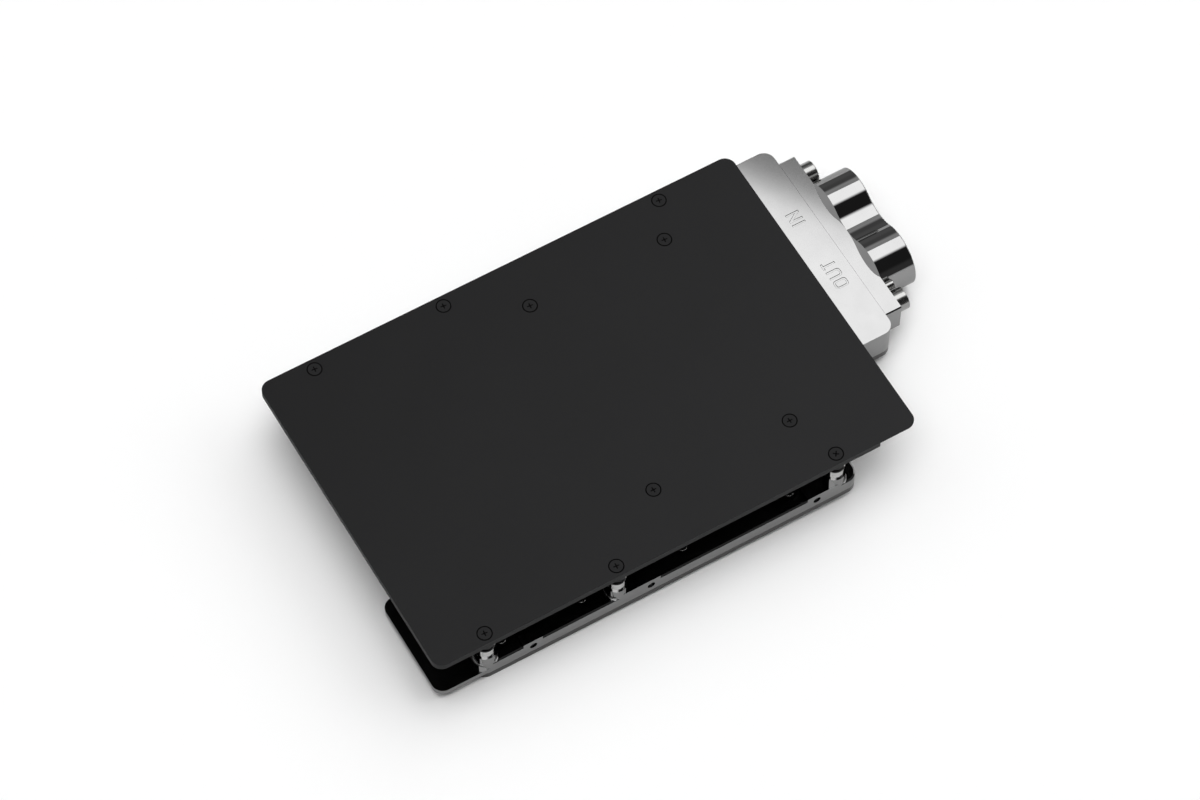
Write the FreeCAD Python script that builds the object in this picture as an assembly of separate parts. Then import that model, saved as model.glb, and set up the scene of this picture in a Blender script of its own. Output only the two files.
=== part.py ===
import FreeCAD, Part
import math
import os

# Water block for a full-height graphics card, lying as it does on a bench, with its backplate up.
# Millimetres. The origin is the centre of the face that touches the graphics chip, and +Z points
# from that face towards the circuit board. X runs along the card towards the two ports,
# and Y runs across the card from its front edge to its rear edge.

Vector = FreeCAD.Vector
UP = Vector(0, 0, 1)
ALONG = Vector(1, 0, 0)
ACROSS = Vector(0, 1, 0)

# Where the chip sits, measured from the backplate's right end and from its rear edge
chip_from_right = 56.6
chip_from_rear = 53.25

# Heights of the stack, from the chip's contact face at zero
board_underside = 3.0
board_thickness = 1.6
post_top = -0.9
raised_end_top = 1.2
base_top = -5.0
side_land_top = -3.9
tongue_top = -7.2
base_thickness = 4.85
base_bottom = base_top - base_thickness

# Backplate
plate_length = 165.0
plate_width = 110.0
plate_thickness = 2.4
plate_corner_radius = 3.6
plate_boss_height = 2.3
plate_boss_radius = 3.0
lip_length = 13.4
lip_thickness = 1.2
lip_chamfer = 0.9
plate_pocket_depth = 0.8
plate_pocket_rim = 8.5
plate_rib_width = 8.0
plate_pocket_radius = 3.0
plate_bottom = board_underside + board_thickness + plate_boss_height
plate_top = plate_bottom + plate_thickness

# Screws that clamp the card, M2.5 with countersunk heads
screw_radius = 1.25
screw_length = 12.0
head_radius = 2.27
head_rim = 0.4
countersink_clearance = 0.15
screw_clearance = 0.15
thread_clearance = 0.05
recess_arm = 0.95
recess_width = 0.36
recess_centre_radius = 0.34
recess_depth = 1.3
front_recess_turns = (-6, -6, -36)
rear_recess_turns = (-6, -7, -9)
chip_recess_turns = (1, 2, -7, -4)

# Places of the clamping screws: two in each row are measured from the backplate's left end,
# the third from its right end
front_screw_from_left = 17.8
rear_screw_from_left = 17.6
front_screw_to_second = 44.5
rear_screw_to_second = 44.4
front_screw_from_right = 26.9
rear_screw_from_right = 27.2
front_screws_from_front = 3.4
rear_screws_from_rear = 3.5
chip_screw_spacing_x = 47.3
chip_screw_spacing_y = 73.5

# Standoffs that carry the board
standoff_radius = 3.0
standoff_stem_radius = 2.0
standoff_stem_length = 2.5
standoff_chamfer = 0.25
stem_clearance = 0.03
post_radius = 3.45
post_fillet = 0.6

# Cooler body
base_from_left = 13.9
base_from_right = 19.7
raised_end_from_right = 14.0
raised_end_length = 28.5
body_corner_radius = 3.8
body_inner_radius = 4.0
smallest_inset_radius = 1.5
tongue_width = 35.0
tongue_thickness = 2.2
tongue_overlap = 6.0
edge_break = 0.25
wall_edge_break = 0.5
matching_tolerance = 1e-4
cut_margin = 1.0

# Contact faces on the component side
pedestal_length = 44.0
pedestal_width = 40.0
pedestal_radius = 3.0
pedestal_chamfer = 0.5
power_land_left = 33.0
power_land_length = 14.0
power_land_margin = 13.0
power_land_top = -2.4
choke_pocket_gap = 5.0
choke_pocket_to_pedestal = 10.4
choke_pocket_depth = 0.9

# Side holes in the front wall, M3, in small raised lands, placed from the nearest clamping screw
side_hole_after_first = 14.5
side_hole_after_second = 10.3
side_hole_before_last = 7.8
side_land_before = 3.4
side_land_after = 3.1
side_land_depth = 8.0
side_hole_radius = 1.25
side_hole_depth = 6.0

# Water channels, milled from below and closed by the cover
channel_roof = -6.9
channel_margin = 10.6
channel_corner_radius = 3.0
channel_wall = 2.5
power_channel_length = 29.0
turn_opening = 15.0
guide_rib_width = 1.2
guide_rib_end_radius = 0.55
guide_rib_count = 3
fin_roof = -2.6
fin_height = 3.6
fin_chamber_wall = 2.5
fin_end_room = 3.5
fin_thickness = 0.6
fin_gap = 0.9
well_length = 14.0
well_roof = -1.3
well_margin = 1.0
guide_clearance = 0.15
guide_rounding = 1.5

# Port manifold with two G1/4 ports. The raised end of the body follows the ports.
manifold_thickness = 5.6
manifold_before_out = 20.25
manifold_beyond_in = 19.4
raised_end_before_manifold = 5.45
manifold_chamfer = 0.4
port_axis_height = -5.4
port_in_from_rear = 25.5
port_spacing = 23.5
port_boss_radius = 10.2
port_boss_length = 12.0
port_valley_height = 6.6
port_end_rounding = 0.35
port_thread_radius = 5.9
port_thread_depth = 10.0
port_mouth_chamfer = 0.7
flow_radius = 3.0
flow_height = -4.3

# Screws and locating pin of the manifold
manifold_screw_radius = 2.0
manifold_screw_length = 14.0
manifold_screw_head_radius = 3.6
manifold_screw_head_length = 4.4
manifold_screw_head_rounding = 0.3
manifold_screw_socket_radius = 1.5
manifold_screw_socket_depth = 2.2
manifold_screw_height = -3.8
manifold_screw_inset = 5.05
dowel_radius = 1.5
dowel_length = 13.0
dowel_proud = 2.9
dowel_height = -0.5
dowel_inset = 9.4

# Seals
port_seal_inner_radius = 3.5
port_seal_width = 1.2
port_seal_depth = 0.8
cover_seal_offset = 8.6
cover_seal_width = 1.9
cover_seal_depth = 1.2
seal_side_clearance = 0.1

# Cover and its screws, M2.5 with countersunk heads
cover_thickness = 2.3
cover_screw_inset = 5.6
cover_screw_radius = 1.25
cover_screw_length = 6.0
cover_screw_head_radius = 2.4
cover_screw_socket_radius = 0.75
cover_screw_socket_depth = 1.1
cover_screw_from_clamp = 6.7
cover_screw_before_clamp = 10.6
cover_screw_from_last = 14.4
cover_screw_from_chip = 21.9
cover_screws_left_pitch = 23.5
cover_bottom = base_bottom - cover_thickness
cover_hole_chamfer = 0.3

# Places that follow from the sizes above
right_end = chip_from_right
rear_edge = chip_from_rear
left_end = right_end - plate_length
front_edge = rear_edge - plate_width
body_left = left_end + base_from_left
body_right = right_end - base_from_right
end_left = right_end - raised_end_from_right
end_right = end_left + raised_end_length
port_in_y = rear_edge - port_in_from_rear
port_out_y = port_in_y - port_spacing
manifold_low_y = port_out_y - manifold_before_out
manifold_high_y = port_in_y + manifold_beyond_in
manifold_face = end_right + manifold_thickness
end_front = manifold_low_y - raised_end_before_manifold
dowel_y = manifold_low_y + dowel_inset
port_end = manifold_face + port_boss_length
chamber_x = pedestal_length / 2 - fin_chamber_wall
chamber_y = pedestal_width / 2 - fin_chamber_wall
fins_x = chamber_x - fin_end_room
fin_tips = fin_roof - fin_height
front_screw_y = front_edge + front_screws_from_front
rear_screw_y = rear_edge - rear_screws_from_rear
front_screw_x = left_end + front_screw_from_left
rear_screw_x = left_end + rear_screw_from_left
front_screws_x = (front_screw_x, front_screw_x + front_screw_to_second, right_end - front_screw_from_right)
rear_screws_x = (rear_screw_x, rear_screw_x + rear_screw_to_second, right_end - rear_screw_from_right)
side_holes_x = (front_screws_x[0] + side_hole_after_first,
                front_screws_x[1] + side_hole_after_second,
                front_screws_x[2] - side_hole_before_last)


def box(low, high):
    """Box between two opposite corners."""
    size = [high[i] - low[i] for i in range(3)]
    return Part.makeBox(size[0], size[1], size[2], Vector(*low))


def cylinder(radius, start, direction, length):
    """Round bar from a start point along a direction."""
    return Part.makeCylinder(radius, length, start, direction)


def cone(start_radius, end_radius, start, direction, length):
    """Tapered round bar from a start point along a direction."""
    return Part.makeCone(start_radius, end_radius, length, start, direction)


def rounded_wire(corners, radii, z):
    """Closed outline through the corners in order, each rounded by its own radius."""
    count = len(corners)
    starts = []
    ends = []
    middles = []
    for i in range(count):
        corner = Vector(corners[i][0], corners[i][1], z)
        before = Vector(corners[i - 1][0], corners[i - 1][1], z) - corner
        after = Vector(corners[(i + 1) % count][0], corners[(i + 1) % count][1], z) - corner
        before.normalize()
        after.normalize()
        half = before.getAngle(after) / 2
        reach = radii[i] / math.tan(half)
        bisector = before + after
        bisector.normalize()
        centre = corner + bisector * (radii[i] / math.sin(half))
        starts.append(corner + before * reach)
        ends.append(corner + after * reach)
        middles.append(centre - bisector * radii[i])
    edges = []
    for i in range(count):
        if radii[i] > 0:
            edges.append(Part.Arc(starts[i], middles[i], ends[i]).toShape())
        edges.append(Part.makeLine(ends[i], starts[(i + 1) % count]))
    return Part.Wire(edges)


def slab(corners, radii, bottom, top):
    """Plate with a rounded outline, between two heights."""
    face = Part.Face(rounded_wire(corners, radii, bottom))
    return face.extrude(UP * (top - bottom))


def rectangle(x_low, y_low, x_high, y_high):
    """Corners of a rectangle, anticlockwise from the lower left."""
    return [(x_low, y_low), (x_high, y_low), (x_high, y_high), (x_low, y_high)]


def rounded_box(x_low, y_low, x_high, y_high, radius, bottom, top):
    """Rectangular block with rounded upright edges."""
    return slab(rectangle(x_low, y_low, x_high, y_high), [radius] * 4, bottom, top)


def edges_at_height(shape, z):
    """Edges of a shape that lie level at one height."""
    found = []
    for edge in shape.Edges:
        low = edge.BoundBox.ZMin
        high = edge.BoundBox.ZMax
        if abs(low - z) < matching_tolerance and abs(high - z) < matching_tolerance:
            found.append(edge)
    return found


def edges_beyond(shape, x):
    """Edges of a shape that lie wholly at or beyond one X."""
    return [edge for edge in shape.Edges if edge.BoundBox.XMin > x - matching_tolerance]


def join(shapes):
    """One solid from several that touch or overlap."""
    result = shapes[0]
    if len(shapes) > 1:
        result = result.fuse(shapes[1:])
    return result.removeSplitter()


def body_corners(inset):
    """Outline of the body and its cover, moved inwards by an inset."""
    return [
        (body_left + inset, front_edge + inset),
        (body_right - inset, front_edge + inset),
        (body_right - inset, end_front + inset),
        (end_right - inset, end_front + inset),
        (end_right - inset, rear_edge - inset),
        (body_left + inset, rear_edge - inset),
    ]


def body_radii(inset):
    """Corner radii of the body's outline, for the same inset."""
    outer = max(body_corner_radius - inset, smallest_inset_radius)
    inner = body_inner_radius + inset
    return [outer, outer, inner, outer, outer, outer]


def front_screw_places():
    """Centres of the clamping screws along the front edge."""
    return [(x, front_screw_y) for x in front_screws_x]


def rear_screw_places():
    """Centres of the clamping screws along the rear edge."""
    return [(x, rear_screw_y) for x in rear_screws_x]


def chip_screw_places():
    """Centres of the four clamping screws round the chip."""
    half_x = chip_screw_spacing_x / 2
    half_y = chip_screw_spacing_y / 2
    return rectangle(-half_x, -half_y, half_x, half_y)


def clamping_places():
    """Centres of all the clamping screws."""
    return front_screw_places() + rear_screw_places() + chip_screw_places()


def cover_screw_places():
    """Centres of the cover's screws, round the edge of the body."""
    inset = cover_screw_inset
    row = [
        front_screws_x[0] + cover_screw_from_clamp,
        front_screws_x[1] - cover_screw_before_clamp,
        -cover_screw_from_chip,
        front_screws_x[2] - cover_screw_from_last,
    ]
    places = [(x, front_edge + inset) for x in row]
    places += [(x, rear_edge - inset) for x in row]
    places.append((end_left, rear_edge - inset))
    places += [(body_left + inset, step * cover_screws_left_pitch) for step in (-1, 0, 1)]
    places.append((body_right - inset, (front_edge + end_front) / 2 + inset))
    places.append(((body_right + end_right) / 2, end_front + inset))
    places.append((end_right - inset, end_front + inset))
    places.append((end_right - inset, (port_out_y + port_in_y) / 2))
    places.append((end_right - inset, rear_edge - inset))
    return places


def make_backplate():
    """Anodised plate with countersunk holes, spacer bosses, a thin lip and pockets below."""
    plate = rounded_box(left_end, front_edge, right_end, rear_edge,
                        plate_corner_radius, plate_bottom, plate_top)
    lip_start = right_end - lip_length
    lip_bottom = plate_top - lip_thickness
    relief_low = (lip_start, front_edge - cut_margin, plate_bottom - cut_margin)
    relief_high = (right_end + cut_margin, rear_edge + cut_margin, lip_bottom)
    plate = plate.cut(box(relief_low, relief_high))
    lip_edges = []
    for edge in edges_at_height(plate, lip_bottom):
        if edge.BoundBox.XMax > lip_start + matching_tolerance:
            lip_edges.append(edge)
    plate = plate.makeChamfer(lip_chamfer, lip_edges)

    rim = plate_pocket_rim
    rib = plate_rib_width / 2
    chip_x = chip_screw_spacing_x / 2
    columns = [
        (left_end + rim, -chip_x - rib),
        (-chip_x + rib, chip_x - rib),
        (chip_x + rib, lip_start - rib),
    ]
    pockets = []
    for x_low, x_high in columns:
        pockets.append(rounded_box(x_low, front_edge + rim, x_high, rear_edge - rim,
                                   plate_pocket_radius, plate_bottom, plate_bottom + plate_pocket_depth))
    plate = plate.cut(pockets)

    bosses = []
    holes = []
    head_depth = head_radius - screw_radius
    sink = head_rim + head_depth
    hole_radius = screw_radius + screw_clearance
    for x, y in clamping_places():
        boss_end = Vector(x, y, plate_bottom - plate_boss_height)
        bosses.append(cylinder(plate_boss_radius, boss_end, UP, plate_boss_height + plate_pocket_depth))
        holes.append(cylinder(hole_radius, boss_end, UP, plate_thickness + plate_boss_height))
        seat = Vector(x, y, plate_top - sink)
        holes.append(cone(screw_radius, head_radius, seat, UP, head_depth))
        rim_start = Vector(x, y, plate_top - head_rim)
        holes.append(cylinder(head_radius + countersink_clearance, rim_start, UP, head_rim))
    return plate.fuse(bosses).cut(holes).removeSplitter()


def countersunk_screw(x, y, turn):
    """Clamping screw with a flat head and a cross recess turned by some degrees."""
    head_depth = head_radius - screw_radius
    sink = head_rim + head_depth
    tip = Vector(x, y, plate_top - screw_length)
    shank = cylinder(screw_radius, tip, UP, screw_length - sink)
    under_head = cone(screw_radius, head_radius, Vector(x, y, plate_top - sink), UP, head_depth)
    rim = cylinder(head_radius, Vector(x, y, plate_top - head_rim), UP, head_rim)
    screw = join([shank, under_head, rim])
    floor = plate_top - recess_depth
    for angle in (turn, turn + 90):
        arm = box((x - recess_arm, y - recess_width / 2, floor),
                  (x + recess_arm, y + recess_width / 2, plate_top))
        arm.rotate(Vector(x, y, 0), UP, angle)
        screw = screw.cut(arm)
    return screw.cut(cylinder(recess_centre_radius, Vector(x, y, floor), UP, recess_depth))


def make_clamping_screws(places, turns):
    """Group of clamping screws, each tightened to its own angle."""
    screws = []
    for (x, y), turn in zip(places, turns):
        screws.append(countersunk_screw(x, y, turn))
    return Part.makeCompound(screws)


def make_standoffs(places):
    """Nickel-plated threaded standoffs, pressed into the body's posts."""
    standoffs = []
    for x, y in places:
        ring = cylinder(standoff_radius, Vector(x, y, post_top), UP, board_underside - post_top)
        ring = ring.makeChamfer(standoff_chamfer, edges_at_height(ring, board_underside))
        stem_start = Vector(x, y, post_top - standoff_stem_length)
        stem = cylinder(standoff_stem_radius, stem_start, UP, standoff_stem_length)
        bore_radius = screw_radius + thread_clearance
        bore = cylinder(bore_radius, stem_start, UP, board_underside - stem_start.z)
        standoffs.append(join([ring, stem]).cut(bore))
    return Part.makeCompound(standoffs)


def body_blank():
    """Base plate, raised port end and thin tongue, before the details are cut."""
    base = slab(body_corners(0), body_radii(0), base_bottom, base_top)
    base = base.makeChamfer(wall_edge_break, edges_at_height(base, base_top))
    end_radii = [body_inner_radius, body_corner_radius, body_corner_radius, body_inner_radius]
    end_outline = rectangle(end_left, end_front, end_right, rear_edge)
    end = slab(end_outline, end_radii, base_bottom, raised_end_top)
    tongue_corners = rectangle(left_end, front_edge, body_left + tongue_overlap, front_edge + tongue_width)
    tongue_radii = [plate_corner_radius, 0, 0, plate_corner_radius]
    tongue = slab(tongue_corners, tongue_radii, tongue_top - tongue_thickness, tongue_top)
    return join([base, end, tongue])


def add_contact_faces(body):
    """Pedestal under the chip and the land under the power stages."""
    half_x = pedestal_length / 2
    half_y = pedestal_width / 2
    pedestal = rounded_box(-half_x, -half_y, half_x, half_y, pedestal_radius, base_top, 0)
    pedestal = pedestal.makeChamfer(pedestal_chamfer, edges_at_height(pedestal, 0))
    land_x = left_end + power_land_left
    land_front = front_edge + power_land_margin
    land_rear = rear_edge - power_land_margin
    land = rounded_box(land_x, land_front, land_x + power_land_length, land_rear,
                       channel_corner_radius, base_top, power_land_top)
    pocket_x = land_x + power_land_length + choke_pocket_gap
    pocket_end = -half_x - choke_pocket_to_pedestal
    pocket = rounded_box(pocket_x, land_front, pocket_end, land_rear,
                         channel_corner_radius, base_top - choke_pocket_depth, base_top)
    return join([body, pedestal, land]).cut(pocket)


def add_posts(body):
    """Round posts with a small fillet at the foot, cut flush with the walls, and the side holes' lands."""
    spans = [
        (side_holes_x[0] - side_land_before, side_holes_x[0] + side_land_after),
        (front_screws_x[1], side_holes_x[1] + side_land_after),
        (side_holes_x[2] - side_land_before, front_screws_x[2]),
    ]
    lands = []
    for low_x, high_x in spans:
        lands.append(box((low_x, front_edge, base_top - wall_edge_break),
                         (high_x, front_edge + side_land_depth, side_land_top)))
    posts = []
    feet = []
    for x, y in clamping_places():
        root = base_top - wall_edge_break
        posts.append(cylinder(post_radius, Vector(x, y, root), UP, post_top - root))
        foot = cylinder(post_radius + post_fillet, Vector(x, y, base_top), UP, post_fillet)
        throat_centre = Vector(x, y, base_top + post_fillet)
        throat = Part.makeTorus(post_radius + post_fillet, post_fillet, throat_centre, UP)
        feet.append(foot.cut(throat))
    within = slab(body_corners(0), body_radii(0), base_top - wall_edge_break, post_top)
    posts_and_feet = [piece.common(within) for piece in posts + feet]
    return join([body] + lands + posts_and_feet)


def channel_cuts():
    """Pockets milled from below for the water, with the fins left standing under the chip."""
    low = base_bottom
    margin = channel_margin
    x_low = body_left + margin
    x_high = end_right - margin
    y_low = front_edge + margin
    y_high = rear_edge - margin
    radius = channel_corner_radius
    inlet_y = port_in_y - flow_radius - well_margin
    wall_y = inlet_y - channel_wall
    power_x = x_low + power_channel_length
    outlet_y = end_front + margin

    inlet = rounded_box(x_low, inlet_y, x_high, y_high, radius, low, channel_roof)
    power = rounded_box(x_low, y_low, power_x, y_high, radius, low, channel_roof)
    turn = rounded_box(x_low, y_low, -chamber_x, y_low + turn_opening, radius, low, channel_roof)
    entry_x = power_x + channel_wall
    entry = rounded_box(entry_x, y_low, -chamber_x, wall_y, radius, low, channel_roof)
    outlet = rounded_box(chamber_x, outlet_y, x_high, wall_y, radius, low, channel_roof)
    exit_gap = box((chamber_x, -chamber_y, low),
                   (body_right - margin, outlet_y + radius, channel_roof))
    chamber = box((-chamber_x - radius, -chamber_y, low), (chamber_x + radius, chamber_y, channel_roof))
    under_fins = box((-chamber_x, -chamber_y, channel_roof), (chamber_x, chamber_y, fin_tips))
    cuts = [inlet, power, turn, entry, outlet, exit_gap, chamber, under_fins]

    for low_x, high_x in ((-chamber_x, -fins_x), (fins_x, chamber_x)):
        cuts.append(box((low_x, -chamber_y, fin_tips), (high_x, chamber_y, fin_roof)))
    pitch = fin_thickness + fin_gap
    slots = int((2 * chamber_y - fin_gap) // pitch) + 1
    first = -((slots - 1) * pitch + fin_gap) / 2
    for i in range(slots):
        y = first + i * pitch
        cuts.append(box((-fins_x, y, fin_tips), (fins_x, y + fin_gap, fin_roof)))

    for y in (port_out_y, port_in_y):
        half = flow_radius + well_margin
        cuts.append(rounded_box(x_high - well_length, y - half, x_high, y + half, radius, low, well_roof))
        passage = Vector(x_high - radius, y, flow_height)
        cuts.append(cylinder(flow_radius, passage, ALONG, end_right - passage.x))
    return cuts


def guide_ribs():
    """Thin ribs that stand in the power channel and steer the water along it."""
    x_low = body_left + channel_margin
    y_low = front_edge + channel_margin + turn_opening
    y_high = port_in_y - flow_radius - well_margin
    pitch = power_channel_length / (guide_rib_count + 1)
    ribs = []
    for i in range(guide_rib_count):
        x = x_low + pitch * (i + 1)
        ribs.append(rounded_box(x - guide_rib_width / 2, y_low, x + guide_rib_width / 2, y_high,
                                guide_rib_end_radius, base_bottom, channel_roof))
    return ribs


def body_hole_cuts():
    """Threaded holes of the body: standoffs, side holes, cover screws, manifold screws and pin."""
    cuts = []
    for x, y in clamping_places():
        stem_start = Vector(x, y, post_top - standoff_stem_length)
        cuts.append(cylinder(standoff_stem_radius + stem_clearance, stem_start, UP, standoff_stem_length))
    side_hole_height = (side_land_top + base_bottom) / 2
    for x in side_holes_x:
        mouth = Vector(x, front_edge, side_hole_height)
        cuts.append(cylinder(side_hole_radius, mouth, ACROSS, side_hole_depth))
    tip = cover_bottom + cover_screw_length
    hole_radius = cover_screw_radius + thread_clearance
    for x, y in cover_screw_places():
        if x > end_left and y > end_front:
            top = tip + cover_screw_radius
        else:
            top = base_top
            lead = cover_hole_chamfer
            cuts.append(cone(hole_radius, hole_radius + lead, Vector(x, y, top - lead), UP, lead))
        cuts.append(cylinder(hole_radius, Vector(x, y, base_bottom), UP, top - base_bottom))
    reach = manifold_screw_length - manifold_thickness
    depth = reach + manifold_screw_radius
    for y in manifold_screw_places():
        start = Vector(end_right - depth, y, manifold_screw_height)
        cuts.append(cylinder(manifold_screw_radius + thread_clearance, start, ALONG, depth))
    depth = dowel_length - dowel_proud - manifold_thickness
    start = Vector(end_right - depth, dowel_y, dowel_height)
    cuts.append(cylinder(dowel_radius + stem_clearance, start, ALONG, depth))
    return cuts


def manifold_screw_places():
    """Y of the manifold's two cap screws."""
    return (manifold_low_y + manifold_screw_inset, manifold_high_y - manifold_screw_inset)


def make_cooler_body():
    """Nickel-plated copper body with posts, contact faces, fins and water channels."""
    body = add_posts(add_contact_faces(body_blank()))
    body = body.cut(channel_cuts())
    body = body.fuse(guide_ribs()).removeSplitter()
    return body.cut(body_hole_cuts())


def make_flow_guide():
    """Block that closes the space below the fins, so that the water has to pass between them."""
    half_y = chamber_y - guide_clearance
    guide = box((-fins_x, -half_y, base_bottom), (fins_x, half_y, fin_tips))
    lower = edges_at_height(guide, base_bottom)
    ends = [edge for edge in lower if edge.BoundBox.YLength > edge.BoundBox.XLength]
    return guide.makeFillet(guide_rounding, ends)


def make_cover():
    """Steel cover below the body, with a groove for its seal and countersunk holes."""
    cover = slab(body_corners(0), body_radii(0), cover_bottom, base_bottom)
    groove_bottom = base_bottom - cover_seal_depth
    outer = cover_seal_offset - cover_seal_width / 2
    inner = cover_seal_offset + cover_seal_width / 2
    groove = slab(body_corners(outer), body_radii(outer), groove_bottom, base_bottom)
    island = slab(body_corners(inner), body_radii(inner), groove_bottom, base_bottom)
    cover = cover.cut(groove.cut(island))
    holes = []
    head_depth = cover_screw_head_radius - cover_screw_radius
    for x, y in cover_screw_places():
        foot = Vector(x, y, cover_bottom)
        holes.append(cylinder(cover_screw_radius + screw_clearance, foot, UP, cover_thickness))
        holes.append(cone(cover_screw_head_radius, cover_screw_radius, foot, UP, head_depth))
    return cover.cut(holes)


def make_cover_seal():
    """Rubber cord pressed flat in the cover's groove."""
    bottom = base_bottom - cover_seal_depth
    outer = cover_seal_offset - cover_seal_width / 2 + seal_side_clearance
    inner = cover_seal_offset + cover_seal_width / 2 - seal_side_clearance
    cord = slab(body_corners(outer), body_radii(outer), bottom, base_bottom)
    hole = slab(body_corners(inner), body_radii(inner), bottom, base_bottom)
    return cord.cut(hole)


def make_cover_screws():
    """Countersunk socket screws that hold the cover from below."""
    screws = []
    head_depth = cover_screw_head_radius - cover_screw_radius
    for x, y in cover_screw_places():
        foot = Vector(x, y, cover_bottom)
        head = cone(cover_screw_head_radius, cover_screw_radius, foot, UP, head_depth)
        shank = cylinder(cover_screw_radius, foot + UP * head_depth, UP, cover_screw_length - head_depth)
        socket = hexagon_bar(cover_screw_socket_radius, foot, UP, cover_screw_socket_depth)
        screws.append(join([head, shank]).cut(socket))
    return Part.makeCompound(screws)


def hexagon_bar(flat_radius, start, direction, length):
    """Six-sided bar, with its size across flats, for the sockets of screws."""
    corner_radius = flat_radius / math.cos(math.pi / 6)
    points = []
    for i in range(7):
        angle = math.pi / 3 * i
        points.append(Vector(corner_radius * math.cos(angle), corner_radius * math.sin(angle), 0))
    face = Part.Face(Part.makePolygon(points))
    face.Placement = FreeCAD.Placement(start, FreeCAD.Rotation(UP, direction))
    return face.extrude(direction * length)


def port_profile(radius, valley, x):
    """Outline of the two joined bosses: two large arcs and two hollow arcs between them."""
    half = port_spacing / 2
    middle = (port_in_y + port_out_y) / 2
    hollow = (half ** 2 + valley ** 2 - radius ** 2) / (2 * (radius - valley))
    lean = math.atan2(half, valley + hollow)
    touch_y = radius * math.sin(lean)
    touch_z = radius * math.cos(lean)

    def point(y, z):
        return Vector(x, middle + y, port_axis_height + z)

    edges = [
        Part.Arc(point(half - touch_y, touch_z), point(0, valley), point(touch_y - half, touch_z)),
        Part.Arc(point(touch_y - half, touch_z), point(-half - radius, 0), point(touch_y - half, -touch_z)),
        Part.Arc(point(touch_y - half, -touch_z), point(0, -valley), point(half - touch_y, -touch_z)),
        Part.Arc(point(half - touch_y, -touch_z), point(half + radius, 0), point(half - touch_y, touch_z)),
    ]
    return Part.Wire([edge.toShape() for edge in edges])


def make_port_manifold():
    """Nickel-plated manifold: a flat bar that carries two joined threaded bosses."""
    bar = box((end_right, manifold_low_y, base_bottom), (manifold_face, manifold_high_y, raised_end_top))
    end_edges = []
    for edge in bar.Edges:
        limits = edge.BoundBox
        if limits.YLength < matching_tolerance and limits.XLength > manifold_thickness / 2:
            end_edges.append(edge)
    bar = bar.makeChamfer(manifold_chamfer, end_edges)
    bosses = Part.Face(port_profile(port_boss_radius, port_valley_height, manifold_face))
    bosses = bosses.extrude(ALONG * port_boss_length)
    bosses = bosses.makeFillet(port_end_rounding, edges_beyond(bosses, port_end))
    manifold = join([bar, bosses])
    cuts = []
    for y in (port_out_y, port_in_y):
        mouth = Vector(port_end, y, port_axis_height)
        thread_end = mouth - ALONG * port_thread_depth
        cuts.append(cylinder(port_thread_radius, thread_end, ALONG, port_thread_depth))
        lead = port_mouth_chamfer
        cuts.append(cone(port_thread_radius, port_thread_radius + lead, mouth - ALONG * lead, ALONG, lead))
        passage = Vector(end_right, y, flow_height)
        cuts.append(cylinder(flow_radius, passage, ALONG, thread_end.x - end_right))
        seal_outer = port_seal_inner_radius + port_seal_width
        ring = cylinder(seal_outer, passage, ALONG, port_seal_depth)
        cuts.append(ring.cut(cylinder(port_seal_inner_radius, passage, ALONG, port_seal_depth)))
    for y in manifold_screw_places():
        cuts.append(cylinder(manifold_screw_radius + screw_clearance,
                             Vector(end_right, y, manifold_screw_height), ALONG, manifold_thickness))
    cuts.append(cylinder(dowel_radius + stem_clearance,
                         Vector(end_right, dowel_y, dowel_height), ALONG, manifold_thickness))
    return manifold.cut(cuts)


def make_port_seal(y):
    """Rubber ring between the body and the manifold, round one water passage."""
    inner = port_seal_inner_radius + seal_side_clearance
    outer = port_seal_inner_radius + port_seal_width - seal_side_clearance
    start = Vector(end_right, y, flow_height)
    ring = cylinder(outer, start, ALONG, port_seal_depth)
    return ring.cut(cylinder(inner, start, ALONG, port_seal_depth))


def make_manifold_screws():
    """Socket cap screws that hold the manifold to the body."""
    screws = []
    for y in manifold_screw_places():
        face = Vector(manifold_face, y, manifold_screw_height)
        shank = cylinder(manifold_screw_radius, face - ALONG * manifold_screw_length, ALONG,
                         manifold_screw_length)
        head = cylinder(manifold_screw_head_radius, face, ALONG, manifold_screw_head_length)
        head_end = face + ALONG * manifold_screw_head_length
        head = head.makeFillet(manifold_screw_head_rounding, edges_beyond(head, head_end.x))
        depth = manifold_screw_socket_depth
        socket = hexagon_bar(manifold_screw_socket_radius, head_end - ALONG * depth, ALONG, depth)
        screws.append(join([shank, head]).cut(socket))
    return Part.makeCompound(screws)


def make_dowel():
    """Steel pin that locates the manifold on the body."""
    start = Vector(manifold_face + dowel_proud - dowel_length, dowel_y, dowel_height)
    pin = cylinder(dowel_radius, start, ALONG, dowel_length)
    rims = [edge for edge in pin.Edges if edge.BoundBox.XLength < matching_tolerance]
    return pin.makeChamfer(edge_break, rims)


def export(node, shape):
    """Write one sub-part to its own file."""
    for solid in shape.Solids:
        if not solid.isValid():
            print("not valid:", node)
    shape.exportStep("parts/" + node + ".step")
    print(node, "solids", len(shape.Solids), "volume", round(shape.Volume, 1))


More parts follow.
